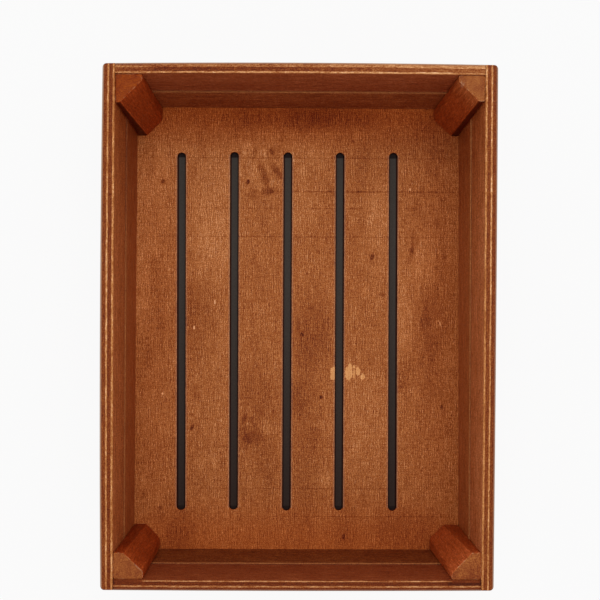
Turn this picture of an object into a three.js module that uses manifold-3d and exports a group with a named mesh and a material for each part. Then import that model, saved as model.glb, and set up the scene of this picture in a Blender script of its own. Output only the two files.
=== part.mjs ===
// Serving crate: an open box of nailed plywood boards, with chamfered corner posts and a slotted base.
// Millimetres. X runs across the crate, Y along it and Z up. The origin is the middle of its underside.

import * as THREE from "three";
import { mergeVertices } from "three/addons/utils/BufferGeometryUtils.js";
import Module from "manifold-3d";

const wasm = await Module();
wasm.setup();

// Whole crate
const crateLength = 400;
const crateWidth = 300;
const crateHeight = 150;
const outerCornerRadius = 3;
const glueLine = 0.15; // clearance between two faces that are glued together

// Side and end boards
const sideBoardThickness = 9.5;
const endBoardThickness = 8;
const courseNames = ["lower", "upper"]; // boards in a wall, from the base up
const boardGap = 8; // open gap between one board and the next above it
const boardArris = 0.8; // eased edge of every board
const jointArris = 0.25; // edges that meet another board end to face

// Base panel and its slots
const basePanelThickness = 5;
const basePanelArris = 0.5;
const slotWidth = 7.5;
const slotPitch = 46.1;
const slotFrontMargin = 33; // front wall to the end of a slot
const slotBackMargin = 39; // back wall to the end of a slot
const slotSideMargin = 35; // least distance from a side wall to the middle of a slot
const slotGroupShift = -9; // the group of slots lies off centre, towards the left side

// Corner posts
const postReach = 22; // how far a post reaches along each of its walls
const postFace = 9; // width of each narrow face beside the chamfer
const postEdgeRadius = 1.4; // edges that touch a wall
const postNoseRadius = 3.2; // edges between the chamfer and the narrow faces
const postEndEase = 0.9; // eased edge round each end
const postRecess = 1; // from the rim down to the top of a post

// Brads
const bradLength = 20;
const bradShankRadius = 0.8;
const bradHeadRadius = 1.5;
const bradHeadThickness = 0.7;
const bradPointLength = 1.6;
const bradSetDepth = 0.2; // head below the face it is driven into
const bradClearance = 0.3; // between a brad and its hole
const bradPostInset = 9; // from the next wall's inner face to the brad
const bradEdgeInset = 16; // from a side board's top or bottom edge to the brad
const bradStagger = 8; // further in on an end board, so that the brads in one post pass each other
const baseBradsPerSide = 3;
const baseBradsPerEnd = 2;
const baseBradEndInset = 50; // from the crate's end to the first base brad under a side board
const baseBradSideInset = 80; // from the crate's side to the first base brad under an end board

// Sizes worked out from these
const innerWidth = crateWidth - 2 * sideBoardThickness;
const innerLength = crateLength - 2 * endBoardThickness;
const wallBottom = basePanelThickness + glueLine;
const wallHeight = crateHeight - wallBottom;
const boardHeight = (wallHeight + boardGap) / courseNames.length - boardGap;
const courseHeight = boardHeight + boardGap;

// Facets of the round edges
const edgeSegments = 2;
const postEaseSteps = 3;
const bradSegments = 8;
const mergeDistance = 1e-4;
const quarterTurn = Math.PI / 2;

const plywood = { color: 0x7a3f20, roughness: 0.5, metalness: 0 };
const panelPlywood = { color: 0x99582f, roughness: 0.55, metalness: 0 };
const postWood = { color: 0x7e3817, roughness: 0.45, metalness: 0 };
const steel = { color: 0x8d867c, roughness: 0.4, metalness: 1 };

// A closed geometry as a solid that can be cut and joined.
function solidFrom(geometry) {
  const bare = geometry.index ? geometry.toNonIndexed() : geometry.clone();
  bare.deleteAttribute("normal");
  bare.deleteAttribute("uv");
  const merged = mergeVertices(bare, mergeDistance);
  const mesh = new wasm.Mesh({
    numProp: 3,
    vertProperties: merged.attributes.position.array,
    triVerts: new Uint32Array(merged.index.array),
  });
  return new wasm.Manifold(mesh);
}

function geometryFrom(solid) {
  const { vertProperties, triVerts } = solid.getMesh();
  const geometry = new THREE.BufferGeometry();
  geometry.setAttribute("position", new THREE.BufferAttribute(vertProperties, 3));
  geometry.setIndex(new THREE.BufferAttribute(triVerts, 1));
  return geometry;
}

// A closed outline through corners given anticlockwise as [x, y, radius], each corner rounded by an arc.
// An inset moves the whole outline inwards by less than the smallest radius.
function roundedOutline(corners, inset = 0) {
  const outline = new THREE.Shape();
  corners.forEach(([x, y, radius], index) => {
    const [beforeX, beforeY] = corners.at(index - 1);
    const [afterX, afterY] = corners[(index + 1) % corners.length];
    const corner = new THREE.Vector2(x, y);
    const toBefore = new THREE.Vector2(beforeX, beforeY).sub(corner).normalize();
    const toAfter = new THREE.Vector2(afterX, afterY).sub(corner).normalize();
    const halfAngle = toBefore.angleTo(toAfter) / 2;
    const inward = toBefore.clone().add(toAfter).normalize();
    const centre = inward.multiplyScalar(radius / Math.sin(halfAngle)).add(corner);
    const tangentLength = radius / Math.tan(halfAngle);
    const arcStart = toBefore.multiplyScalar(tangentLength).add(corner).sub(centre);
    const arcEnd = toAfter.multiplyScalar(tangentLength).add(corner).sub(centre);
    outline.absarc(centre.x, centre.y, radius - inset, arcStart.angle(), arcEnd.angle(), false);
  });
  return outline;
}

function extrude(outline, depth) {
  return new THREE.ExtrudeGeometry(outline, {
    depth,
    bevelEnabled: false,
    curveSegments: edgeSegments,
  });
}

// A board with its length along X, its inner face on Y = 0 and its lower edge on Z = 0. It is the common
// part of three profiles: its section, its outline from above and its outline from the side.
function boardGeometry({ length, thickness, endRadius, endArris }) {
  const half = length / 2;
  const section = extrude(
    roundedOutline([
      [0, 0, boardArris],
      [thickness, 0, boardArris],
      [thickness, boardHeight, boardArris],
      [0, boardHeight, boardArris],
    ]),
    length,
  );
  const alongX = new THREE.Matrix4().makeBasis(
    new THREE.Vector3(0, 1, 0),
    new THREE.Vector3(0, 0, 1),
    new THREE.Vector3(1, 0, 0),
  );
  section.applyMatrix4(alongX).translate(-half, 0, 0);

  const plan = extrude(
    roundedOutline([
      [-half, 0, jointArris],
      [half, 0, jointArris],
      [half, thickness, endRadius],
      [-half, thickness, endRadius],
    ]),
    boardHeight,
  );

  const face = extrude(
    roundedOutline([
      [-half, 0, endArris],
      [half, 0, endArris],
      [half, boardHeight, endArris],
      [-half, boardHeight, endArris],
    ]),
    thickness,
  );
  face.rotateX(quarterTurn).translate(0, thickness, 0);

  return geometryFrom(
    solidFrom(section).intersect(solidFrom(plan)).intersect(solidFrom(face)),
  );
}

// A post's section at height z, with the crate's inner corner at X = 0, Y = 0. The posts are sawn and
// sanded by hand, so each section has its own share of the reach and of the narrow face at each end.
function postRing({ reachX, faceX, reachY, faceY }, inset, z) {
  const near = glueLine;
  const corners = [
    [near, near, postEdgeRadius],
    [reachX * postReach, near, postEdgeRadius],
    [reachX * postReach, faceX * postFace, postNoseRadius],
    [faceY * postFace, reachY * postReach, postNoseRadius],
    [near, reachY * postReach, postEdgeRadius],
  ];
  const outline = roundedOutline(corners, inset).getPoints(edgeSegments);
  return outline.map(({ x, y }) => [x, y, z]);
}

// A post is the hull of its foot section and its smaller top section, each eased round its end.
function postGeometry(height, foot, top) {
  const rings = [];
  for (let step = 0; step <= postEaseSteps; step += 1) {
    const angle = (quarterTurn * step) / postEaseSteps;
    const inset = postEndEase * (1 - Math.sin(angle));
    const fromEnd = postEndEase * (1 - Math.cos(angle));
    rings.push(postRing(foot, inset, fromEnd), postRing(top, inset, height - fromEnd));
  }
  return geometryFrom(wasm.Manifold.hull(rings.flat()));
}

// The middles of the slots: as many as fit between the side walls at their pitch.
function slotCentres() {
  const room = innerWidth - 2 * slotSideMargin - 2 * Math.abs(slotGroupShift);
  const slotCount = Math.floor(room / slotPitch) + 1;
  const firstSlot = slotGroupShift - ((slotCount - 1) * slotPitch) / 2;
  return Array.from({ length: slotCount }, (_, index) => firstSlot + index * slotPitch);
}

function slotOutline(centreX) {
  const radius = slotWidth / 2;
  const frontCentre = -innerLength / 2 + slotFrontMargin + radius;
  const backCentre = innerLength / 2 - slotBackMargin - radius;
  const slot = new THREE.Path();
  slot.absarc(centreX, backCentre, radius, 0, Math.PI, false);
  slot.absarc(centreX, frontCentre, radius, Math.PI, 2 * Math.PI, false);
  return slot;
}

function basePanelGeometry() {
  const halfWidth = crateWidth / 2;
  const halfLength = crateLength / 2;
  const outline = roundedOutline([
    [-halfWidth, -halfLength, outerCornerRadius],
    [halfWidth, -halfLength, outerCornerRadius],
    [halfWidth, halfLength, outerCornerRadius],
    [-halfWidth, halfLength, outerCornerRadius],
  ]);
  outline.holes = slotCentres().map(slotOutline);
  const geometry = new THREE.ExtrudeGeometry(outline, {
    depth: basePanelThickness - 2 * basePanelArris,
    curveSegments: 4,
    bevelSegments: 1,
    bevelThickness: basePanelArris,
    bevelSize: basePanelArris,
    bevelOffset: -basePanelArris,
  });
  return geometry.translate(0, 0, basePanelArris);
}

// A brad with the top of its head on Y = 0 and its point towards -Y. Grown by a clearance, and with its
// head raised to come out through the face that it is driven into, it is the shape of its own hole.
function bradGeometry(clearance = 0, headTop = 0) {
  const shank = bradShankRadius + clearance;
  const head = bradHeadRadius + clearance;
  const headUnderside = -bradHeadThickness - clearance;
  const point = -bradLength - clearance;
  const profile = [
    new THREE.Vector2(0, point),
    new THREE.Vector2(shank, point + bradPointLength),
    new THREE.Vector2(shank, headUnderside),
    new THREE.Vector2(head, headUnderside),
    new THREE.Vector2(head, headTop),
    new THREE.Vector2(0, headTop),
  ];
  return new THREE.LatheGeometry(profile, bradSegments);
}

function makeMesh(name, geometry, finish) {
  const mesh = new THREE.Mesh(geometry, new THREE.MeshStandardMaterial(finish));
  mesh.name = name;
  return mesh;
}

const crate = new THREE.Group();
const boardsPostsAndPanel = [];
const brads = [];

function addPiece(parent, name, geometry, finish) {
  const piece = makeMesh(name, geometry, finish);
  boardsPostsAndPanel.push(piece);
  parent.add(piece);
  return piece;
}

function addBrad(parent, name, x, y, z) {
  const brad = makeMesh(name, bradGeometry(), steel);
  brad.position.set(x, y, z);
  brads.push(brad);
  parent.add(brad);
  return brad;
}

// A wall stands on the base with its length along X and its inner face on Y = 0, facing -Y.
function addWall({ side, shape, bradReach, edgeInset, x, y, turn }) {
  const wall = new THREE.Group();
  wall.position.set(x, y, wallBottom);
  wall.rotation.z = turn;
  crate.add(wall);
  courseNames.forEach((course, index) => {
    const boardBottom = index * courseHeight;
    const board = addPiece(wall, `${side}_board_${course}`, boardGeometry(shape), plywood);
    board.position.z = boardBottom;
    for (const [end, x] of [["a", -bradReach], ["b", bradReach]]) {
      for (const [row, height] of [[1, edgeInset], [2, boardHeight - edgeInset]]) {
        const name = `brad_${side}_${course}_${end}${row}`;
        addBrad(wall, name, x, shape.thickness - bradSetDepth, boardBottom + height);
      }
    }
  });
}

// The side walls run the full length, so their brads stand in from the inner faces of the end walls.
const sideWall = {
  shape: {
    length: crateLength,
    thickness: sideBoardThickness,
    endRadius: outerCornerRadius,
    endArris: boardArris,
  },
  bradReach: innerLength / 2 - bradPostInset,
  edgeInset: bradEdgeInset,
  y: 0,
};
// The end walls are glued between the side walls.
const endWall = {
  shape: {
    length: innerWidth - 2 * glueLine,
    thickness: endBoardThickness,
    endRadius: jointArris,
    endArris: jointArris,
  },
  bradReach: innerWidth / 2 - bradPostInset,
  edgeInset: bradEdgeInset + bradStagger,
  x: 0,
};
addWall({ ...sideWall, side: "left", x: -innerWidth / 2, turn: quarterTurn });
addWall({ ...sideWall, side: "right", x: innerWidth / 2, turn: -quarterTurn });
addWall({ ...endWall, side: "back", y: innerLength / 2, turn: 0 });
addWall({ ...endWall, side: "front", y: -innerLength / 2, turn: 2 * quarterTurn });

addPiece(crate, "base_panel", basePanelGeometry(), panelPlywood);

// Turned into their corners, the front left and back right posts have their local X along an end wall, and
// the other two have it along a side wall.
const cornerPosts = [
  {
    name: "post_front_left",
    foot: { reachX: 1.02, faceX: 1, reachY: 0.98, faceY: 1.17 },
    top: { reachX: 1.04, faceX: 0.67, reachY: 0.91, faceY: 0.89 },
    corner: [-1, -1],
    turn: 0,
  },
  {
    name: "post_front_right",
    foot: { reachX: 0.98, faceX: 1.44, reachY: 1.14, faceY: 1.11 },
    top: { reachX: 0.93, faceX: 0.78, reachY: 1.02, faceY: 0.56 },
    corner: [1, -1],
    turn: quarterTurn,
  },
  {
    name: "post_back_right",
    foot: { reachX: 1, faceX: 1.11, reachY: 1.09, faceY: 0.72 },
    top: { reachX: 0.91, faceX: 0.56, reachY: 0.91, faceY: 0.5 },
    corner: [1, 1],
    turn: 2 * quarterTurn,
  },
  {
    name: "post_back_left",
    foot: { reachX: 1.09, faceX: 0.94, reachY: 1, faceY: 1.17 },
    top: { reachX: 0.95, faceX: 0.4, reachY: 0.93, faceY: 0.56 },
    corner: [-1, 1],
    turn: -quarterTurn,
  },
];
for (const { name, foot, top, corner, turn } of cornerPosts) {
  const shape = postGeometry(wallHeight - postRecess, foot, top);
  const post = addPiece(crate, name, shape, postWood);
  post.position.set((corner[0] * innerWidth) / 2, (corner[1] * innerLength) / 2, wallBottom);
  post.rotation.z = turn;
}

// Brads driven up through the base, into the middle of the edge of each lower board.
function addBaseBrads(side, count, reach, place) {
  for (let index = 0; index < count; index += 1) {
    const along = reach * ((2 * index) / (count - 1) - 1);
    const [x, y] = place(along);
    const brad = addBrad(crate, `brad_base_${side}_${index + 1}`, x, y, bradSetDepth);
    brad.rotation.x = -quarterTurn;
  }
}
const baseBradReachY = crateLength / 2 - baseBradEndInset;
const baseBradReachX = crateWidth / 2 - baseBradSideInset;
for (const [side, sign] of [["left", -1], ["right", 1]]) {
  const x = (sign * (innerWidth + sideBoardThickness)) / 2;
  addBaseBrads(side, baseBradsPerSide, baseBradReachY, (along) => [x, along]);
}
for (const [side, sign] of [["front", -1], ["back", 1]]) {
  const y = (sign * (innerLength + endBoardThickness)) / 2;
  addBaseBrads(side, baseBradsPerEnd, baseBradReachX, (along) => [along, y]);
}

// Each board, post and panel gets a clearance hole for every brad that enters it.
crate.updateMatrixWorld(true);
const bradHole = bradGeometry(bradClearance, 2 * bradSetDepth);
for (const piece of boardsPostsAndPanel) {
  const toPiece = piece.matrixWorld.clone().invert();
  const pieceBox = new THREE.Box3().setFromBufferAttribute(piece.geometry.attributes.position);
  let solid = null;
  for (const brad of brads) {
    const hole = bradHole.clone().applyMatrix4(toPiece.clone().multiply(brad.matrixWorld));
    hole.computeBoundingBox();
    if (hole.boundingBox.intersectsBox(pieceBox)) {
      solid = (solid ?? solidFrom(piece.geometry)).subtract(solidFrom(hole));
    }
  }
  if (solid) {
    piece.geometry = geometryFrom(solid);
  }
}

export default crate;
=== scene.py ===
import math

import bmesh
import bpy
from mathutils import Matrix, Vector


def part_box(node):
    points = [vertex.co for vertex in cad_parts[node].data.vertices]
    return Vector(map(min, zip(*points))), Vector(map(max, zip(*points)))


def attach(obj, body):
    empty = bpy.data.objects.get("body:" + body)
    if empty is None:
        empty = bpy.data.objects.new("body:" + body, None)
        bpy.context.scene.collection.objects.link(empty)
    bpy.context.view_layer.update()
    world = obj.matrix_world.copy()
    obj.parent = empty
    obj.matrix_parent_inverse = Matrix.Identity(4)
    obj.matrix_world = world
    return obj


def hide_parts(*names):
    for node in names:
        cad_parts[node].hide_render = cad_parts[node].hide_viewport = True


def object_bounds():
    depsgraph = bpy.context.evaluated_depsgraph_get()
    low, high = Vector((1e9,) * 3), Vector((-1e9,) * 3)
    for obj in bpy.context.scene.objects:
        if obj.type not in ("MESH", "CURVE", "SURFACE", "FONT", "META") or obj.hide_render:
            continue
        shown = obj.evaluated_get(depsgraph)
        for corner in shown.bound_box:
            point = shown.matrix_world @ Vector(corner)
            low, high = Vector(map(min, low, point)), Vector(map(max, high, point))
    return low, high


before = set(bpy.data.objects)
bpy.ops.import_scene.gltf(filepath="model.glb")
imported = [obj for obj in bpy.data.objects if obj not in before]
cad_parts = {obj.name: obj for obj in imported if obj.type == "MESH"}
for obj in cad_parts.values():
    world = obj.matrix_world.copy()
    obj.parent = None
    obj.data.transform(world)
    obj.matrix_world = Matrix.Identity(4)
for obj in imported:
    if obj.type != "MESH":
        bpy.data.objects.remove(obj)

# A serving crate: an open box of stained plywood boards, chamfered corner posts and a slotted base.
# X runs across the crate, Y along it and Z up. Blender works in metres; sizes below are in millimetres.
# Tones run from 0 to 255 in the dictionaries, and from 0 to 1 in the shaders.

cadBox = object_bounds()
mm = 0.001
touching = 0.01 * mm  # places nearer than this count as the same
farAway = 1000.0  # more than any distance on the crate
cornerAngle = math.radians(60)  # edges within a bevel bend by less
sides = ["left", "right", "back", "front"]
courses = ["lower", "upper"]
print("frame loaded,", len(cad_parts), "nodes")


# Camera, almost straight above the crate

viewpoint = {
    "lens": 77.49,
    "sensor": 36.0,
    "place": (-7.81, -11.78, 1130.88),
    "turn": (0.0317, -0.0090, 0.0045),
}


def addCamera():
    cameraData = bpy.data.cameras.new("camera")
    cameraData.lens = viewpoint["lens"]
    cameraData.sensor_width = viewpoint["sensor"]
    camera = bpy.data.objects.new("camera", cameraData)
    camera.location = Vector(viewpoint["place"]) * mm
    camera.rotation_euler = viewpoint["turn"]
    bpy.context.scene.collection.objects.link(camera)
    bpy.context.scene.camera = camera


addCamera()
bpy.context.scene.view_settings.view_transform = "Standard"
print("camera placed")


# Shader helpers: a value is a number, or a socket whose node tree the new nodes join

def linear(red, green, blue):
    # a colour as seen on screen, 0 to 255, made linear
    def channel(value):
        value = value / 255
        return value / 12.92 if value <= 0.04045 else ((value + 0.055) / 1.055) ** 2.4
    return (channel(red), channel(green), channel(blue), 1.0)


def isSocket(value):
    return isinstance(value, bpy.types.NodeSocket)


def feed(socket, value):
    if isSocket(value):
        socket.id_data.links.new(value, socket)
    else:
        socket.default_value = value


def addNode(tree, kind, sockets, **settings):
    node = tree.nodes.new("ShaderNode" + kind)
    for name, value in settings.items():
        setattr(node, name, value)
    for name, value in sockets.items():
        feed(node.inputs[name], value)
    return node


def follow(kind, sockets, **settings):
    # outputs of a new node, in the tree of the first socket that feeds it
    tree = next(value.id_data for value in sockets.values() if isSocket(value))
    return addNode(tree, kind, sockets, **settings).outputs


def calc(operation, first, second=0.0, third=0.0):
    return follow("Math", {0: first, 1: second, 2: third}, operation=operation)[0]


def product(first, *others):
    for other in others:
        first = calc("MULTIPLY", first, other)
    return first


def plus(value, amount, mask):
    return calc("MULTIPLY_ADD", mask, amount, value)


def minus(first, second):
    return calc("SUBTRACT", first, second) if isSocket(first) or isSocket(second) else first - second


def raised(value, tones, mask):
    return plus(value, tones / 255, mask)


def between(share, first, second):
    # first where share is 0, and second where it is 1
    return plus(first, share, minus(second, first))


def scaled(value, centre, factor):
    # value pushed away from its centre, or drawn in to it
    return plus(centre, factor, minus(value, centre))


def vectorCalc(operation, first, second=(0, 0, 0)):
    return follow("VectorMath", {0: first, 1: second}, operation=operation)[0]


def ramp(value, low, high, start=0.0, end=1.0, kind="SMOOTHSTEP"):
    # start at low, end at high
    sockets = {"Value": value, "From Min": low, "From Max": high, "To Min": start, "To Max": end}
    return follow("MapRange", sockets, interpolation_type=kind)[0]


def window(value, low, lowFull, highFull, high):
    # 1 between the two full values, and 0 outside low and high
    return product(ramp(value, low, lowFull), ramp(value, high, highFull))


def mix(share, first, second, kind="MIX"):
    return follow("Mix", {0: share, 6: first, 7: second}, data_type="RGBA", blend_type=kind)[2]


def tinted(colour, tint):
    return mix(1.0, colour, tint, "MULTIPLY")


def noise(place, size, detail=2.0, roughness=0.5, distortion=0.0):
    # size is that of one patch along X, Y and Z
    sockets = {
        "Vector": vectorCalc("DIVIDE", place, size), "Scale": 1.0, "Detail": detail,
        "Roughness": roughness, "Distortion": distortion,
    }
    return follow("TexNoise", sockets)[0]


def parts(vector):
    return follow("SeparateXYZ", {0: vector})


def colourRamp(value, stops):
    # stops are values from 0 to 1, each with its colour
    colour = follow("ValToRGB", {0: value})[0]
    elements = colour.node.color_ramp.elements
    elements.remove(elements[1])
    for index, (position, shade) in enumerate(stops):
        element = elements[0] if index == 0 else elements.new(position)
        element.position = position
        element.color = shade
    return colour


def startGroup(name, inputs, outputs):
    # a socket for each value: a number, a place or a colour
    group = bpy.data.node_groups.new(name, "ShaderNodeTree")
    kinds = {3: "NodeSocketVector", 4: "NodeSocketColor"}
    for inOut, values in (("INPUT", inputs), ("OUTPUT", outputs)):
        for label, value in values.items():
            kind = "NodeSocketFloat" if isinstance(value, float) else kinds[len(value)]
            group.interface.new_socket(label, in_out=inOut, socket_type=kind).default_value = value
    return group, group.nodes.new("NodeGroupInput").outputs, group.nodes.new("NodeGroupOutput").inputs


def useGroup(group, sockets):
    return follow("Group", sockets, node_tree=group)


satinShine = 0.06  # specular level of a thin, rubbed-down finish


def startMaterial(name):
    # its Principled shader, and the place in millimetres that each piece keeps with it
    material = bpy.data.materials.new(name)
    material.use_nodes = True
    shader = material.node_tree.nodes["Principled BSDF"]
    place = addNode(material.node_tree, "Attribute", {}, attribute_name="truePlace").outputs["Vector"]
    feed(shader.inputs["Specular IOR Level"], satinShine)
    return material, shader, place


def normalParts(material):
    return parts(addNode(material.node_tree, "TexCoord", {}).outputs["Normal"])


# Light, floor and the dark sheet under the crate

light = {
    "sky": 0.6,  # strength of the white world
    "overheadPower": 11.2,
    "overheadSize": (800, 900),
    "overheadPlace": (60, 200, 1650),
    "background": 0.966,  # how white the floor and the backdrop look to the camera
    "shadowKept": 0.05,  # share of the floor's own shading, with the crate's shadow
}

ground = {
    "size": 30000,
    "drop": 0.6,  # floor below the underside of the crate
    "colour": (247, 247, 247),
    "rough": 0.9,
    "sheetInset": 22,  # from the outside of the crate
    "sheetThickness": 0.3,
    "sheetCorner": (6, 4),  # radius and segments
    "sheetBack": (72, 66, 61),  # colour under the back of the crate, and under the front
    "sheetFront": (54, 40, 35),
    "sheetFade": (60, -170),  # y between which it changes
    "sheetRough": 0.95,
    "sheetShine": 0.2,
    "weave": ((1.4, 1.4, 1.4), 3),  # its pattern, and between which values it turns lighter
    "weaveRange": (0.3, 0.7),
    "weaveTint": (0.84, 0.84, 0.84, 1.0),
    # the ends of the slots shade it, between these y
    "backShade": (148.5, 149.5),
    "frontShade": (-154.9, -155.9, 0.0, 0.7),
    "endTint": (0.28, 0.2, 0.22, 1.0),
    # and their walls cast a red shade, between these distances from a slot's middle line
    "wallShade": (2.3, 3.1),
    "wallTint": (0.55, 0.12, 0.05, 1.0),
}


def seenDirectly(tree):
    # 1 for camera, glossy and transmitted rays
    path = addNode(tree, "LightPath", {}).outputs
    mirrored = calc("MAXIMUM", path["Is Glossy Ray"], path["Is Transmission Ray"])
    return calc("MAXIMUM", path["Is Camera Ray"], mirrored)


def addLight():
    world = bpy.data.worlds.new("studio")
    bpy.context.scene.world = world
    world.use_nodes = True
    tree = world.node_tree
    lamp = tree.nodes["Background"]
    feed(lamp.inputs["Color"], (1, 1, 1, 1))
    feed(lamp.inputs["Strength"], light["sky"])
    backdrop = addNode(tree, "Background", {"Color": (1, 1, 1, 1), "Strength": light["background"]})
    either = follow("MixShader", {0: seenDirectly(tree), 1: lamp.outputs[0], 2: backdrop.outputs[0]})
    feed(tree.nodes["World Output"].inputs["Surface"], either[0])

    lampData = bpy.data.lights.new("overhead", "AREA")
    lampData.shape = "RECTANGLE"
    lampData.energy = light["overheadPower"]
    lampData.size, lampData.size_y = [size * mm for size in light["overheadSize"]]
    overhead = bpy.data.objects.new("overhead", lampData)
    overhead.location = Vector(light["overheadPlace"]) * mm
    overhead.rotation_euler = overhead.location.to_track_quat("Z", "Y").to_euler()
    bpy.context.scene.collection.objects.link(overhead)


def linkPiece(name, bm, material):
    mesh = bpy.data.meshes.new(name)
    bm.to_mesh(mesh)
    bm.free()
    mesh.materials.append(material)
    piece = bpy.data.objects.new(name, mesh)
    bpy.context.scene.collection.objects.link(piece)
    return piece


def moveInto(target, bm):
    mesh = bpy.data.meshes.new("part of a cutter")
    bm.to_mesh(mesh)
    bm.free()
    target.from_mesh(mesh)
    bpy.data.meshes.remove(mesh)


def addBox(low, high):
    bm = bmesh.new()
    bmesh.ops.create_cube(bm, size=1)
    bmesh.ops.scale(bm, vec=high - low, verts=bm.verts)
    bmesh.ops.translate(bm, vec=(low + high) / 2, verts=bm.verts)
    return bm


def isUpright(edge):
    first, second = [vert.co for vert in edge.verts]
    return (first.xy - second.xy).length < touching


def isFlat(edge):
    first, second = [vert.co for vert in edge.verts]
    return abs(first.z - second.z) < touching


def roundEdges(bm, edges, radius, segments):
    bmesh.ops.bevel(
        bm, geom=edges, offset=radius * mm, offset_type="OFFSET", segments=segments,
        profile=0.5, affect="EDGES", material=-1, clamp_overlap=True,
    )


def roundUprights(bm, radius, segments):
    roundEdges(bm, [edge for edge in bm.edges if isUpright(edge)], radius, segments)


def addFloor():
    material, shader = startMaterial("pale floor")[:2]
    tree = material.node_tree
    feed(shader.inputs["Base Color"], linear(*ground["colour"]))
    feed(shader.inputs["Roughness"], ground["rough"])
    glow = addNode(tree, "Emission", {"Color": (1, 1, 1, 1), "Strength": light["background"]})
    amount = product(seenDirectly(tree), 1 - light["shadowKept"])
    both = follow("MixShader", {0: amount, 1: shader.outputs[0], 2: glow.outputs[0]})
    feed(tree.nodes["Material Output"].inputs["Surface"], both[0])
    bm = bmesh.new()
    bmesh.ops.create_grid(bm, x_segments=1, y_segments=1, size=ground["size"] * mm / 2)
    bmesh.ops.translate(bm, vec=(0, 0, -ground["drop"] * mm), verts=bm.verts)
    linkPiece("floor", bm, material)


def slotDistance(x, y):
    # from the middle line of the nearest slot
    nearest = farAway
    for backX, backY, frontX, frontY in base["slots"]:
        slant = (backX - frontX) / (backY - frontY)
        fromBack = product(minus(y, backY), -slant)
        distance = calc("ADD", minus(x, backX), fromBack)
        nearest = calc("MINIMUM", calc("ABSOLUTE", distance), nearest)
    return nearest


def addDarkSheet():
    material, shader, place = startMaterial("charcoal sheet")
    x, y = parts(place)[:2]
    fade = ramp(y, *ground["sheetFade"], kind="LINEAR")
    colour = mix(fade, linear(*ground["sheetBack"]), linear(*ground["sheetFront"]))
    weave = ramp(noise(place, *ground["weave"]), *ground["weaveRange"])
    colour = mix(weave, tinted(colour, ground["weaveTint"]), colour)
    shade = calc("MAXIMUM", ramp(y, *ground["backShade"]), ramp(y, *ground["frontShade"]))
    colour = mix(shade, colour, tinted(colour, ground["endTint"]))
    shade = ramp(slotDistance(x, y), *ground["wallShade"])
    colour = mix(shade, colour, tinted(colour, ground["wallTint"]))
    feed(shader.inputs["Base Color"], colour)
    feed(shader.inputs["Roughness"], ground["sheetRough"])
    feed(shader.inputs["Specular IOR Level"], ground["sheetShine"])
    inset = Vector((1, 1, 0)) * ground["sheetInset"] * mm
    low, high = cadBox[0].copy(), cadBox[1].copy()
    low.z = -ground["drop"] * mm
    high.z = low.z + ground["sheetThickness"] * mm
    bm = addBox(low + inset, high - inset)
    roundUprights(bm, *ground["sheetCorner"])
    sheet = linkPiece("charcoal_sheet", bm, material)
    keepPlace(sheet.data)


addLight()
addFloor()
print("light and floor ready")


# Brads: round wire pins with a low domed head, set just under the face they are driven into

brad = {
    "shankRadius": 0.8,
    "headRadius": 1.5,
    "headThickness": 0.7,
    "headEase": (0.1, 0.12),  # under the head's edge and above it
    # the dome inwards: shares of the head's radius and of the dome's height
    "crown": [(0.62, 0.32), (0.3, 0.07), (0, 0)],
    "dome": 0.2,
    "pointLength": 1.6,
    "point": (0.2, 0.1),  # blunt end: share of the shank's radius, and height
    "length": 20.0,
    "setDepth": 0.2,
    "clearance": 0.3,  # between a brad and its hole
    "segments": 20,
    "steel": (150, 142, 132),
    "tarnish": (92, 70, 54),
    "tarnished": (0.42, 0.62),
    "patches": ((0.9, 0.9, 0.9), 4, 0.7),
    "rough": (0.3, 0.7, 0.32, 0.6),
    "bump": 0.03,
}


def bradProfile(grow=0.0, raiseHead=0.0):
    # radius and height, from the point up to the middle of the head
    shank = brad["shankRadius"] + grow
    head = brad["headRadius"] + grow
    under = -brad["headThickness"] - grow
    tip = -brad["length"] - grow
    if raiseHead:
        crown = [(head, raiseHead), (0, raiseHead)]
    else:
        rim = -brad["dome"]
        below, above = brad["headEase"]
        crown = [(head - below, under), (head, under + below), (head, rim - above), (head - above, rim)]
        crown += [(head * radius, rim * height) for radius, height in brad["crown"]]
    blunt, rise = brad["point"]
    point = [(0, tip), (shank * blunt, tip + rise), (shank, tip + brad["pointLength"])]
    return point + [(shank, under)] + crown


def spinProfile(profile, place):
    # turns the profile round its axis, and puts it where place says
    bm = bmesh.new()
    verts = [bm.verts.new((radius * mm, 0, height * mm)) for radius, height in profile]
    edges = [bm.edges.new(pair) for pair in zip(verts, verts[1:])]
    bmesh.ops.spin(
        bm, geom=verts + edges, axis=(0, 0, 1), cent=(0, 0, 0), angle=math.tau,
        steps=brad["segments"], use_merge=True,
    )
    bmesh.ops.remove_doubles(bm, verts=bm.verts, dist=touching / 10)
    bmesh.ops.transform(bm, matrix=place, verts=bm.verts)
    bmesh.ops.recalc_face_normals(bm, faces=bm.faces)
    return bm


def bradPlace(name):
    # along the longest side of its node's box, with the head towards the outside of the crate
    low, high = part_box(name)
    size = high - low
    axis = max(range(3), key=lambda index: size[index])
    middle = (low + high) / 2
    outward = Vector((0, 0, 0))
    outward[axis] = -1 if axis == 2 or middle[axis] < 0 else 1
    head = middle + outward * size[axis] / 2
    return Matrix.Translation(head) @ outward.to_track_quat("Z", "Y").to_matrix().to_4x4()


bradNames = sorted(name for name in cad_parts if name.startswith("brad_"))
bradPlaces = {name: bradPlace(name) for name in bradNames}


# Pieces from meshes, with their holes and their shading

def divide(bm, axis, low, high, count):
    # cuts the mesh across at even steps, so that a long piece can bow
    normal = Vector((0, 0, 0))
    normal[axis] = 1
    for index in range(1, count):
        everything = bm.verts[:] + bm.edges[:] + bm.faces[:]
        point = low.lerp(high, index / count)
        bmesh.ops.bisect_plane(bm, geom=everything, dist=touching / 100, plane_co=point, plane_no=normal)


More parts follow.
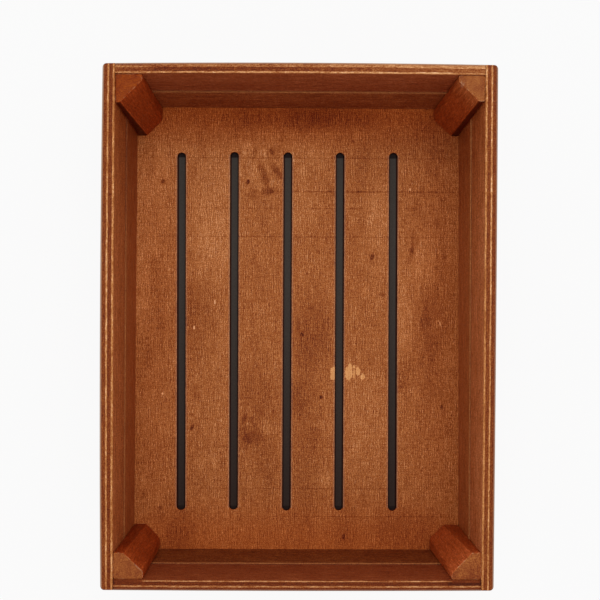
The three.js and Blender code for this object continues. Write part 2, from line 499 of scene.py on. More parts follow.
def drillHoles(piece, node):
    # a clearance hole for each brad whose box meets the node's box
    low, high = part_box(node)
    cutter = bmesh.new()
    for name, place in bradPlaces.items():
        bradLow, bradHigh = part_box(name)
        if all(bradLow[i] < high[i] and bradHigh[i] > low[i] for i in range(3)):
            moveInto(cutter, spinProfile(bradProfile(brad["clearance"], 2 * brad["setDepth"]), place))
    cutWith(piece, cutter)


def cutWith(piece, cutter):
    tool = linkPiece("cutter", cutter, piece.data.materials[0])
    cut = piece.modifiers.new("cut", "BOOLEAN")
    cut.operation = "DIFFERENCE"
    cut.solver = "EXACT"
    cut.object = tool
    bpy.context.view_layer.update()
    evaluated = piece.evaluated_get(bpy.context.evaluated_depsgraph_get())
    before, piece.data = piece.data, bpy.data.meshes.new_from_object(evaluated)
    piece.modifiers.clear()
    toolMesh = tool.data
    bpy.data.objects.remove(tool)
    bpy.data.meshes.remove(toolMesh)
    bpy.data.meshes.remove(before)


def sharpEdges(bm):
    return [edge for edge in bm.edges if edge.is_manifold and edge.calc_face_angle() > cornerAngle]


# how far the corners of the rim lean out of square, along X and Y
lean = {
    ("left", "back"): (-0.7, -0.3),
    ("right", "back"): (1.9, 0.15),
    ("left", "front"): (1.2, -0.1),
    ("right", "front"): (-1.8, 0.2),
}
# how far each rim bows outwards in its middle, at the inner face and the outer face
bow = {"left": (0.45, 1.15), "right": (0.27, 0.3), "back": (0.5, 1.1), "front": (0.25, 0.45)}
wallShare = 0.06  # about a wall's thickness, as a share of half the crate
flatWeight = 90  # how far a large face keeps its own normal beside a bevel


def leanAt(place):
    # nothing at the base, and the whole of it at the rim
    size = cadBox[1] - cadBox[0]
    right, back, height = [(place[i] - cadBox[0][i]) / size[i] for i in range(3)]
    move = Vector((0, 0, 0))
    for (side, end), (x, y) in lean.items():
        share = (right if side == "right" else 1 - right) * (back if end == "back" else 1 - back)
        move += Vector((x, y, 0)) * share
    across, along = 2 * right - 1, 2 * back - 1
    move.x += bowAt("right" if across > 0 else "left", across, along)
    move.y += bowAt("back" if along > 0 else "front", along, across)
    return move * height * mm


def bowAt(side, towards, along):
    # towards is 1 or -1 at the side's outer face, and along at its ends
    inner, outer = bow[side]
    through = min(max((abs(towards) - 1) / wallShare + 1, 0), 1)
    return (inner + (outer - inner) * through) * towards * abs(towards) * (1 - along ** 2)


def keepPlace(mesh):
    # each vertex keeps its place on a square crate in millimetres, which the materials read
    places = mesh.attributes.new("truePlace", "FLOAT_VECTOR", "POINT")
    for index, vertex in enumerate(mesh.vertices):
        places.data[index].vector = vertex.co / mm


def finishPiece(piece, node, drilled=True):
    if drilled:
        drillHoles(piece, node)
    keepPlace(piece.data)
    for vertex in piece.data.vertices:
        vertex.co += leanAt(vertex.co)
    piece.data.polygons.foreach_set("use_smooth", [True] * len(piece.data.polygons))
    weighted = piece.modifiers.new("flat faces", "WEIGHTED_NORMAL")
    weighted.weight = flatWeight
    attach(piece, "root")
    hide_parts(node)


# Shader groups that the wooden pieces share

stain = {
    # the finish from thick and dark to thin and worn, as seen in plain light
    "shades": [
        (60, 21, 9), (72, 26, 11), (85, 32, 14), (100, 39, 18), (115, 51, 23), (129, 63, 28), (142, 76, 35),
        (156, 90, 43), (170, 104, 52), (185, 119, 65), (200, 135, 81), (215, 151, 97), (230, 171, 118),
        (246, 195, 147),
    ],
    "pale": (182, 152, 128),  # bare, dry wood on a rubbed edge, and the painted highlight on the rim's outer arris
    "bumpStrength": 0.6,
    "roughSpeckle": (0.25, 0.75),  # speckle between which the finish turns rough
}


def makeStainGroup():
    # Tone is the colour's red, 0 to 1, Deep how far it goes towards Tint, and Pale towards dry wood's pale
    # colour, which also paints highlights.
    inputs = {"Tone": 0.5, "Deep": 0.0, "Tint": (1, 1, 1, 1), "Pale": 0.0}
    group, given, end = startGroup("stain", inputs, {"Colour": (1, 1, 1, 1)})
    shades = colourRamp(given["Tone"], [(shade[0] / 255, linear(*shade)) for shade in stain["shades"]])
    colour = mix(given["Deep"], shades, tinted(shades, given["Tint"]))
    feed(end["Colour"], mix(given["Pale"], colour, linear(*stain["pale"])))
    return group


wood = {
    # size of one patch along X, Y and Z, detail, roughness, distortion
    "patterns": {
        "Thread": ((0.5, 3, 0.5), 0),
        "Strand": ((0.5, 15, 0.5), 0),
        "Crossing": ((5.5, 0.5, 5.5), 0),
        "Fibre": ((0.5, 0.6, 0.5), 0),
        "Streak": ((1.6, 60, 1.6), 3, 0.6),
        "Speckle": ((2.4, 3.6, 2.4), 2, 0.6),
        "Blotch": ((7.5, 10, 7.5), 2, 0.55, 0.3),
        "Figure": ((9, 34, 9), 4, 0.6, 0.5),
        "Cloud": ((26, 36, 26), 2, 0.5, 0.8),
    },
    "seedStep": (17.3, 31.1, 11.9),  # how far one seed moves the pattern
    "linePitch": 1.9,  # between fine lines in the face of the veneer
    "lineWander": 14.0,
    "ribWander": ((3, 7, 3), 1),
    "rungWander": ((14, 3, 14), 1),
    "lineFade": ((9, 11, 9), 2),
    "lineStrength": (0.36, 0.62, 0.08, 0.5),
    "poreSize": ((0.7, 3.4, 0.7), 1),
    "poreRange": (0.6, 0.72),
}


def makeWoodGroup():
    # Fibres run along Y. Every output is about 0.5 on average, but Pores is a mask.
    outputs = {name: 0.0 for name in [*wood["patterns"], "Ribs", "Rungs", "Pores"]}
    group, given, end = startGroup("wood grain", {"Place": (0, 0, 0), "Seed": 0.0}, outputs)
    place = vectorCalc("ADD", given["Place"], vectorCalc("MULTIPLY", wood["seedStep"], given["Seed"]))
    for name, pattern in wood["patterns"].items():
        feed(end[name], noise(place, *pattern))
    # fine lines along and across the veneer, which wander and fade in and out
    x, y = parts(place)[:2]
    for name, distance, pattern in (("Ribs", x, wood["ribWander"]), ("Rungs", y, wood["rungWander"])):
        wander = product(noise(place, *pattern), wood["lineWander"])
        phase = plus(wander, math.tau / wood["linePitch"], distance)
        strength = ramp(noise(place, *wood["lineFade"]), *wood["lineStrength"])
        feed(end[name], plus(0.5, strength, calc("SINE", phase)))
    feed(end["Pores"], ramp(noise(place, *wood["poreSize"]), *wood["poreRange"]))
    return group


def makeEdgeGroup():
    # How far a place is from the nearest edge of a box: the middle one of its distances to the faces.
    inputs = {"Place": (0, 0, 0), "Centre": (0, 0, 0), "Half Size": (1, 1, 1)}
    group, given, end = startGroup("distance to edge", inputs, {"Distance": 0.0})
    fromCentre = vectorCalc("SUBTRACT", given["Place"], given["Centre"])
    x, y, z = parts(vectorCalc("SUBTRACT", given["Half Size"], vectorCalc("ABSOLUTE", fromCentre)))
    lower = calc("MINIMUM", x, y)
    upper = calc("MINIMUM", calc("MAXIMUM", x, y), z)
    feed(end["Distance"], calc("MAXIMUM", lower, upper))
    return group


def makeSpotGroup():
    # A soft-edged oval mark. Torn breaks its outline up.
    inputs = {"Place": (0, 0, 0), "Centre": (0, 0, 0), "Reach": (1, 1, 1), "Turn": 0.0, "Softness": 0.5,
              "Strength": 1.0, "Torn": 0.0}
    group, given, end = startGroup("oval mark", inputs, {"Mask": 0.0})
    fromCentre = vectorCalc("SUBTRACT", given["Place"], given["Centre"])
    sockets = {"Vector": fromCentre, "Angle": given["Turn"]}
    turned = follow("VectorRotate", sockets, rotation_type="Z_AXIS")[0]
    inside = vectorCalc("DIVIDE", turned, given["Reach"])
    length = follow("VectorMath", {0: inside}, operation="LENGTH")["Value"]
    length = calc("ADD", length, given["Torn"])
    start = minus(1.0, given["Softness"])
    mask = ramp(length, start, calc("ADD", 1.0, given["Softness"]), 1.0, 0.0)
    feed(end["Mask"], product(mask, given["Strength"]))
    return group


stainGroup = makeStainGroup()
woodGroup = makeWoodGroup()
edgeGroup = makeEdgeGroup()
spotGroup = makeSpotGroup()


def stained(tone, deep, tint, pale):
    return useGroup(stainGroup, {"Tone": tone, "Deep": deep, "Tint": tint, "Pale": pale})["Colour"]


def roughened(grain, lowest, highest):
    return ramp(grain["Speckle"], *stain["roughSpeckle"], lowest, highest)


def finishShader(shader, colour, rough, height, depth):
    feed(shader.inputs["Base Color"], colour)
    feed(shader.inputs["Roughness"], rough)
    bump = follow("Bump", {"Height": height, "Distance": depth * mm, "Strength": stain["bumpStrength"]})
    feed(shader.inputs["Normal"], bump[0])


def grainTone(grain, amounts, start):
    # start plus each grain pattern times its amount, most of them swinging both ways
    total = start
    for name, amount in amounts.items():
        middle = 0.0 if name == "Pores" else 0.5 * amount
        total = plus(minus(total, middle), amount, grain[name])
    return total


def ovalMask(place, centre, reach, turn, strength, softness, torn=0.0):
    return useGroup(spotGroup, {
        "Place": place, "Centre": centre, "Reach": reach, "Turn": math.radians(turn), "Softness": softness,
        "Strength": strength, "Torn": torn,
    })["Mask"]


def markMasks(place, marks, softness, ragged, tears):
    # A mark is an oval: middle x, y, reach x, y, strength, and a turn in degrees if it has one. Softness
    # and ragged say how soft and how torn its outline is, and tears is the pattern that tears it.
    torn = product(minus(noise(place, *tears), 0.5), ragged)
    return [
        ovalMask(place, (x, y, 0), (reachX, reachY, farAway), sum(turn), strength, softness, torn)
        for x, y, reachX, reachY, strength, *turn in marks
    ]


def addMarks(place, tone, marks, softness, ragged, streaks=1.0):
    # a mark's strength is the tones it adds, more or less of them from streak to streak
    total = 0.0
    for mask in markMasks(place, marks, softness, ragged, base["tears"]):
        total = calc("ADD", mask, total)
    return raised(tone, 1, product(total, streaks))


# Boards

board = {
    # radius and segments of its edges, of those that meet another board, and of the crate's outer corners
    "arris": (0.8, 3),
    "jointArris": (0.25, 2),
    "corner": (3.0, 6),
    "lengths": 16,  # steps along a board in which it can bow
    # plies on a top edge: the face, a pale inner ply, the middle, a pale line and the outer ply; the
    # depth at which each ends, and its tone
    "plyEnds": {
        "left": (0.15, 1.6, 4.4, 5.6, 9.5),
        "right": (0.15, 1.6, 4.4, 5.6, 9.5),
        "back": (0.3, 1.6, 4.7, 6.5, 8.0),
        "front": (0.5, 1.4, 4.2, 5.5, 8.0),
    },
    "plyTones": {
        "left": (126, 193, 117, 203, 124),
        "right": (128, 188, 123, 203, 118),
        "back": (112, 202, 123, 174, 150),
        "front": (104, 184, 101, 176, 108),
    },
    "plyBlur": 0.09,
    # patterns by which the plies wander and fray, and how far
    "plyWaves": [((40, 26, 40), 3), ((1.4, 3.0, 1.4), 2)],
    "plyWander": 0.3,
    # patterns by which the plies stand out more or less: between which values, from and to how far
    "plyStrengths": [
        (((2.2, 17, 9), 3, 0.6), (0.3, 0.6, 0.6, 1.05)),
        (((0.9, 3.6, 0.9), 1), (0.3, 0.7, 0.74, 1.26)),
    ],
    "rightSlope": 0.0009,  # the right plies are stronger to the back, per mm
    "backSlope": 0.17,  # the back edge is lighter to the right, tones per mm
    # an end board's edge is lighter or darker behind one post: between which x and depths, and tones
    "endLift": {
        "back": ((-108, -120), (6.2, 5.2), 26),
        "front": ((112, 118), (4.6, 3.6), -26),
    },
    # the inner ply is darker beside a post: between which x and depths, and how far
    "postReach": (116.5, 119.5),
    "postDepth": (2.4, 1.9),
    "postDarkening": {"back": 0.3, "front": 0.95},
    # tones by which an end board is darker at its ends, and between which distances from them
    "endSoak": {"back": 4, "front": 26},
    "soakFrom": (1.6, 0.7),
    "edgeGrain": {"Thread": 0.16, "Strand": 0.16, "Fibre": 0.44, "Speckle": 0.07, "Streak": 0.08,
                  "Blotch": 0.04},
    "endNormal": (0.6, 0.9),  # slopes of a surface between which it becomes an end
    "outsideTone": 168,
    "outsideDeep": 0.6,
    # where the stain has soaked in red, on the long boards and the end boards
    "tints": [(1.0, 0.6, 0.55, 1.0), (1.0, 0.6, 0.9, 1.0)],
    "plyTint": (1.0, 0.88, 0.48, 1.0),  # and in the dark plies of the rim
    "plyDeep": (0.62, 0.38, 0.1, 1.0),  # between which shader tones, and from and to how far
    "grain": {"Thread": 0.12, "Strand": 0.22, "Fibre": 0.42, "Streak": 0.13, "Blotch": 0.04, "Figure": 0.05,
              "Cloud": 0.03, "Pores": -0.05},
    "grainStretch": 0.22,  # up the faces, where the veneer was peeled
    # tone of the inner face and how red it is, lower and upper course; partly the stain, partly painted
    # light and shade
    "inside": {
        "left": [(168, 0.7), (177, 0.68)],
        "right": [(176, 0.58), (193, 0.66)],
        "back": [(150, 0.47), (153, 0.7)],
        "front": [(127, 0.05), (141, 0.63)],
    },
    # a lower board's top edge in the gap: its tone, the depths between which its lit part ends, how dark
    # the rest is, and how much of the plies' contrast is left
    "seam": {"left": 150, "right": 164, "back": 150, "front": 150},
    "seamLit": (0.8, 1.1),
    "seamShade": {"left": 0.72, "right": 0.72, "back": 0.85, "front": 0.72},
    "seamContrast": 0.12,
    "seamFade": 26,  # the left one is darker towards the back
    "seamFadeY": (30, 130),
    "facePlies": (0.03, 0.16),  # depths under a face between which plies show
    # how pale the painted highlight on the rim's outer arris is, between which distances from the face and
    # the top, and how pale the rim's light plies and the edges in the gap are
    "arrisHighlight": {"left": 0.85, "right": 0.6, "back": 0.6, "front": 0.35},
    "arrisHighlightReach": (1.5, 0.5),
    "arrisHighlightDrop": (2.0, 1.0),
    "dryPlies": {"left": 0.02, "right": 0.03, "back": 0.12, "front": 0.15},
    "dryTones": (0.55, 0.75),  # shader tones between which a ply is light
    "drySeam": 0.04,
    "lipLift": 0.25,  # the arris over the gap catches light from the board below
    "lipReach": (1.4, 0.4),
    "rimwardLight": 12,  # painted light: an upper board is lighter towards the rim, where more overhead light reaches it
    "topShares": (-0.4, 0.6),  # share of it at the foot and at the rim
    "backShade": 24,  # side boards are darker towards the back
    "backShadeY": (50, 190),
    "wear": 16,  # rubbed edges
    "wearReach": (0.9, -0.1),
    "wearBlotch": -1.6,
    "rough": (0.42, 0.6),
    "poreDepth": -0.6,
    "bump": 0.12,
}


def plyTone(depth, ends, tones):
    # the tone of a stack of plies at a depth from the inner face
    start = 0.0
    stops = []
    for end, tone in zip(ends, tones):
        grey = (tone / 255,) * 3 + (1,)
        stops += [(place / ends[-1], grey) for place in (start + board["plyBlur"], end - board["plyBlur"])]
        start = end
    return follow("SeparateColor", {0: colourRamp(calc("DIVIDE", depth, ends[-1]), stops)})[0]


def rimPlies(side, course, plyDepth, grainPlace, x, y, halfLength):
    # the plies on a board's top edge and on its ends, which show them the other way about
    ends = board["plyEnds"][side]
    face, inner, middle, line, outer = board["plyTones"][side]
    onEnd = plyTone(plyDepth, ends, (face, middle, line, middle, outer))
    onTop = plyTone(plyDepth, ends, (face, inner, middle, line, outer))
    strength = plus(1.0, board["rightSlope"] if side == "right" else 0.0, y)
    for pattern, change in board["plyStrengths"]:
        strength = product(ramp(noise(grainPlace, *pattern), *change), strength)
    onTop = scaled(onTop, middle / 255, strength)
    if side == "back":
        onTop = raised(onTop, board["backSlope"], x)
    if side in ("back", "front"):
        betweenX, depths, lift = board["endLift"][side]
        onTop = raised(onTop, lift, product(ramp(x, *betweenX), ramp(plyDepth, *depths)))
        reach = calc("ABSOLUTE", x)
        nearPost = ramp(reach, *board["postReach"], 0.0, board["postDarkening"][side])
        darkBesidePost = product(nearPost, ramp(plyDepth, *board["postDepth"]))
        onTop = between(darkBesidePost, onTop, middle / 255)
        soaked = ramp(minus(halfLength, reach), *board["soakFrom"])
        onTop = raised(onTop, -board["endSoak"][side], soaked)
    if course == "lower":
        lit = ramp(plyDepth, *board["seamLit"], 1.0, board["seamShade"][side])
        onTop = product(scaled(onTop, board["seam"][side] / 255, board["seamContrast"]), lit)
        if side == "left":
            onTop = raised(onTop, -board["seamFade"], ramp(y, *board["seamFadeY"]))
    return onTop, onEnd


def makeBoardMaterial(side, course):
    material, shader, place = startMaterial("stained plywood " + side + " " + course)
    low, high = [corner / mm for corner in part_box(side + "_board_" + course)]
    centre, half = (low + high) / 2, (high - low) / 2
    seed = 3.0 * sides.index(side) + courses.index(course)
    isSide = side in ("left", "right")
    axis = 0 if isSide else 1  # across the board
    outwards = 1 if centre[axis] > 0 else -1
    innerFace = abs(centre[axis]) - half[axis]

    x, y, z = parts(place)
    across, along = (x, y) if isSide else (y, x)
    depth = minus(product(across, outwards), innerFace)
    grainPlace = follow("CombineXYZ", {0: across, 1: along, 2: z})[0]
    grain = useGroup(woodGroup, {"Place": grainPlace, "Seed": seed})
    edge = useGroup(edgeGroup, {"Place": place, "Centre": centre, "Half Size": half})["Distance"]
    plyDepth = depth
    for pattern in board["plyWaves"]:
        plyDepth = plus(plyDepth, board["plyWander"], minus(noise(grainPlace, *pattern), 0.5))
    onTop, onEnd = rimPlies(side, course, plyDepth, grainPlace, x, y, half[0])
    atEnd = ramp(calc("ABSOLUTE", normalParts(material)[1 - axis]), *board["endNormal"])
    plies = grainTone(grain, board["edgeGrain"], between(atEnd, onTop, onEnd))

    # faces: stain with a fine grain along the board
    insideTone, insideDeep = board["inside"][side][courses.index(course)]
    isInside = calc("LESS_THAN", depth, half[axis])
    faceTone = between(isInside, board["outsideTone"] / 255, insideTone / 255)
    if course == "upper":
        # painted light, stronger towards the rim
        faceTone = raised(faceTone, board["rimwardLight"], ramp(z, low.z, high.z, *board["topShares"], "LINEAR"))
    if isSide:
        faceTone = raised(faceTone, -board["backShade"], ramp(y, *board["backShadeY"]))
    worn = ramp(plus(edge, board["wearBlotch"], grain["Blotch"]), *board["wearReach"])
    faceTone = raised(faceTone, board["wear"], worn)
    facePlace = vectorCalc("MULTIPLY", grainPlace, (1, 1, board["grainStretch"]))
    faceGrain = useGroup(woodGroup, {"Place": facePlace, "Seed": seed})
    faceTone = grainTone(faceGrain, board["grain"], faceTone)

    # the plies show away from both faces
    fromOuter = minus(2 * half[axis], depth)
    inPlies = ramp(calc("MINIMUM", depth, fromOuter), *board["facePlies"])
    tone = between(inPlies, faceTone, plies)
    deep = between(isInside, board["outsideDeep"], insideDeep)
    deepPlies = ramp(tone, *board["plyDeep"]) if course == "upper" else 0.0
    deep = between(inPlies, deep, deepPlies)
    tint = mix(inPlies, board["tints"][axis], board["plyTint"])
    dry = board["drySeam"]
    if course == "upper":
        lip = ramp(minus(z, low.z), *board["lipReach"], 0.0, board["lipLift"])
        tone = plus(tone, lip, tone)
        dry = ramp(tone, *board["dryTones"], 0.0, board["dryPlies"][side])
    # painted highlight along the rim's outer arris, where the bright backdrop shows at its edge
    arris = ramp(fromOuter, *board["arrisHighlightReach"], 0.0, board["arrisHighlight"][side])
    arris = product(arris, ramp(minus(high.z, z), *board["arrisHighlightDrop"]))
    pale = calc("MAXIMUM", arris, product(inPlies, dry))
    colour = stained(tone, deep, tint, pale)
    height = plus(grain["Streak"], board["poreDepth"], grain["Pores"])
    finishShader(shader, colour, roughened(grain, *board["rough"]), height, board["bump"])
    return material


def addBoard(side, course):
    name = side + "_board_" + course
    low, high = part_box(name)
    isSide = side in ("left", "right")
    bm = addBox(low, high)
    axis = 0 if isSide else 1
    inner, outer = sorted((low[axis], high[axis]), key=abs)

    def isOn(edge, axis, value):
        return all(abs(vert.co[axis] - value) < touching for vert in edge.verts)

    def isEnd(edge):
        return isOn(edge, 0, low.x) or isOn(edge, 0, high.x)

    if isSide:
        corners = [edge for edge in bm.edges if isUpright(edge) and isOn(edge, axis, outer)]
        roundEdges(bm, corners, *board["corner"])
        long = [edge for edge in sharpEdges(bm) if not (isUpright(edge) and isOn(edge, axis, inner))]
        roundEdges(bm, long, *board["arris"])
        joints = [edge for edge in sharpEdges(bm) if isUpright(edge) and isOn(edge, axis, inner)]
    else:
        long = [edge for edge in bm.edges if not isEnd(edge)]
        roundEdges(bm, long, *board["arris"])
        joints = [edge for edge in sharpEdges(bm) if isEnd(edge)]
    roundEdges(bm, joints, *board["jointArris"])
    divide(bm, 1 - axis, low, high, board["lengths"])
    finishPiece(linkPiece(name + "_stained", bm, makeBoardMaterial(side, course)), name)


for side in sides:
    for course in courses:
        addBoard(side, course)
print("boards ready")


# Corner posts

post = {
    "reach": 22.0,  # how far a post reaches along each of its walls
    "face": 9.0,  # narrow face beside the chamfer
    "fitGap": 0.15,  # glue line between a post and its walls
    "onWall": 1,  # nearer to a wall than this is on it
    # radius and segments of its edges, of its chamfer's and of its two ends
    "arris": (1.4, 4),
    "nose": (3.2 * math.tan(math.pi / 8), 4),
    "endEase": (0.9, 4),
    # at the foot and the top: shares of the reach along X and Y, and of the narrow faces at those ends
    "sections": {
        "post_front_left": [(1.02, 0.98, 1.0, 1.17), (1.04, 0.91, 0.67, 0.89)],
        "post_front_right": [(1.14, 0.98, 1.11, 1.44), (1.02, 0.93, 0.56, 0.78)],
        "post_back_right": [(1.0, 1.09, 1.11, 0.72), (0.91, 0.91, 0.56, 0.5)],
        "post_back_left": [(1.0, 1.13, 1.25, 0.94), (0.93, 1.0, 0.56, 0.4)],
    },
    "grain": {"Thread": 0.2, "Strand": 0.36, "Fibre": 0.54, "Streak": 0.2, "Figure": 0.16, "Pores": -0.06},
    "endGrain": {"Fibre": 0.4, "Speckle": 0.1, "Blotch": 0.22, "Cloud": 0.12},
    "seedTones": 7,  # the grain's seed is the tone over this
    # slopes between which a surface becomes the top, and a face along the crate
    "endNormal": (0.55, 0.9),
    "alongNormal": (0.82, 0.95),
    # how much lighter the chamfer's edge along the end board is worn
    "edgeWear": {"post_back_left": 34, "post_back_right": 6, "post_front_left": 6, "post_front_right": 10},
    "edgeNormal": (0.73, 0.8, 0.88, 0.96),
    # pale chips at the top of the chamfer: middle, reach and turn; and their strength and softness
    "chips": {
        "post_back_right": [
            ((122.6, 185.4, 147), (0.35, 2.4, 6), -8), ((123.7, 184.3, 147), (0.35, 2.3, 6), 18),
        ],
        "post_front_left": [((-121.9, -182.6, 147), (0.3, 3.4, 6), -45)],
    },
    "chipLook": (0.32, 0.5),
    "tint": (1.0, 0.42, 0.25, 1.0),
    "endTint": (1.0, 0.6, 0.03, 1.0),
    # tone of the sides and how red they are, the same for the top, how dark the faces along the crate
    # are, and how much lighter and drier the sides are near the top
    "finish": {
        "post_back_left": (152, 1.0, 127, 0.85, 0.5, 8, 0.0),
        "post_back_right": (160, 0.92, 145, 0.0, 0.5, 16, 0.3),
        "post_front_left": (153, 0.98, 142, 0.05, 0.86, 14, 0.0),
        "post_front_right": (178, 0.88, 139, 0.1, 0.86, 24, 0.0),
    },
    "crown": (95, 150),  # heights between which the sides turn lighter
    # the edge round the top is rubbed in patches: how much lighter, less red and paler
    "wear": 21,
    "wearFade": -0.6,
    "wearPale": 0.3,
    "wearNormal": (0.2, 0.5, 0.8, 0.97),
    "wearPatches": ((2.6, 2.6, 2.6), 3, 0.7),
    "wearRange": (0.46, 0.62),
    "rough": (0.38, 0.55),
    "bump": 0.12,
}


def makePostMaterial(name):
    material, shader, place = startMaterial("stained post " + name)
    sideTone, sideDeep, endTone, endDeep, alongShade, crownLift, crownDry = post["finish"][name]
    x, y, z = parts(place)
    grainPlace = follow("CombineXYZ", {0: x, 1: z, 2: y})[0]
    upGrain = useGroup(woodGroup, {"Place": grainPlace, "Seed": sideTone / post["seedTones"]})
    topGrain = useGroup(woodGroup, {"Place": place, "Seed": endTone / post["seedTones"]})
    normal = normalParts(material)
    alongNormal = calc("ABSOLUTE", normal[1])
    onEnd = ramp(normal[2], *post["endNormal"])
    crown = ramp(z, *post["crown"])
    onSides = grainTone(upGrain, post["grain"], raised(sideTone / 255, crownLift, crown))
    onSides = product(onSides, ramp(alongNormal, *post["alongNormal"], 1.0, alongShade))
    tone = between(onEnd, onSides, grainTone(topGrain, post["endGrain"], endTone / 255))
    # worn along one edge of the chamfer
    edge = product(window(alongNormal, *post["edgeNormal"]), minus(1.0, onEnd))
    tone = raised(tone, post["edgeWear"][name], edge)
    # a rubbed line where the top turns over into the sides
    patches = ramp(noise(place, *post["wearPatches"]), *post["wearRange"])
    rubbed = product(window(normal[2], *post["wearNormal"]), patches)
    tone = raised(tone, post["wear"], rubbed)
    deep = between(onEnd, plus(sideDeep, -crownDry, crown), endDeep)
    deep = product(deep, plus(1.0, post["wearFade"], rubbed))
    pale = product(rubbed, post["wearPale"])
    for centre, reach, turn in post["chips"].get(name, []):
        pale = calc("MAXIMUM", pale, ovalMask(place, centre, reach, turn, *post["chipLook"]))
    tint = mix(onEnd, post["tint"], post["endTint"])
    colour = stained(tone, deep, tint, pale)
    finishShader(shader, colour, roughened(upGrain, *post["rough"]), upGrain["Streak"], post["bump"])
    return material


def addPost(name):
    low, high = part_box(name)
    towards = [-1 if low[axis] > 0 else 1 for axis in (0, 1)]  # from the walls into the crate
    walls = [low[axis] if towards[axis] > 0 else high[axis] for axis in (0, 1)]
    bm = addBox(low, high)

    def distances(vert):
        # from the two walls, in millimetres
        return [(vert.co[axis] - walls[axis]) * towards[axis] / mm for axis in (0, 1)]

    def isFree(edge):
        # whether both its ends are away from both walls
        return all(min(distances(vert)) > post["onWall"] for vert in edge.verts)

    # the far corner becomes the chamfer, and foot and top each take their section
    roundEdges(bm, [edge for edge in bm.edges if isUpright(edge) and isFree(edge)], post["face"], 1)
    for vert in bm.verts:
        section = post["sections"][name][0 if vert.co.z < (low.z + high.z) / 2 else 1]
        reach = [share * post["reach"] - post["fitGap"] for share in section[:2]]
        face = [share * post["face"] - post["fitGap"] for share in section[2:]]
        before = distances(vert)
        after = [reach[axis] if before[axis] > post["onWall"] else 0 for axis in (0, 1)]
        if min(before) > post["onWall"]:
            after = (reach[0], face[0]) if before[0] > before[1] else (face[1], reach[1])
        for axis in (0, 1):
            vert.co[axis] = walls[axis] + towards[axis] * after[axis] * mm

    chamferEdges = [edge for edge in bm.edges if isFree(edge) and not isFlat(edge)]
    roundEdges(bm, chamferEdges, *post["nose"])
    uprights = [edge for edge in sharpEdges(bm) if not isFlat(edge)]
    roundEdges(bm, uprights, *post["arris"])
    ends = [edge for edge in sharpEdges(bm) if isFlat(edge)]
    roundEdges(bm, ends, *post["endEase"])
    finishPiece(linkPiece(name + "_stained", bm, makePostMaterial(name)), name)


for name in sorted(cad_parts):
    if name.startswith("post_"):
        addPost(name)
print("posts ready")


# Base panel

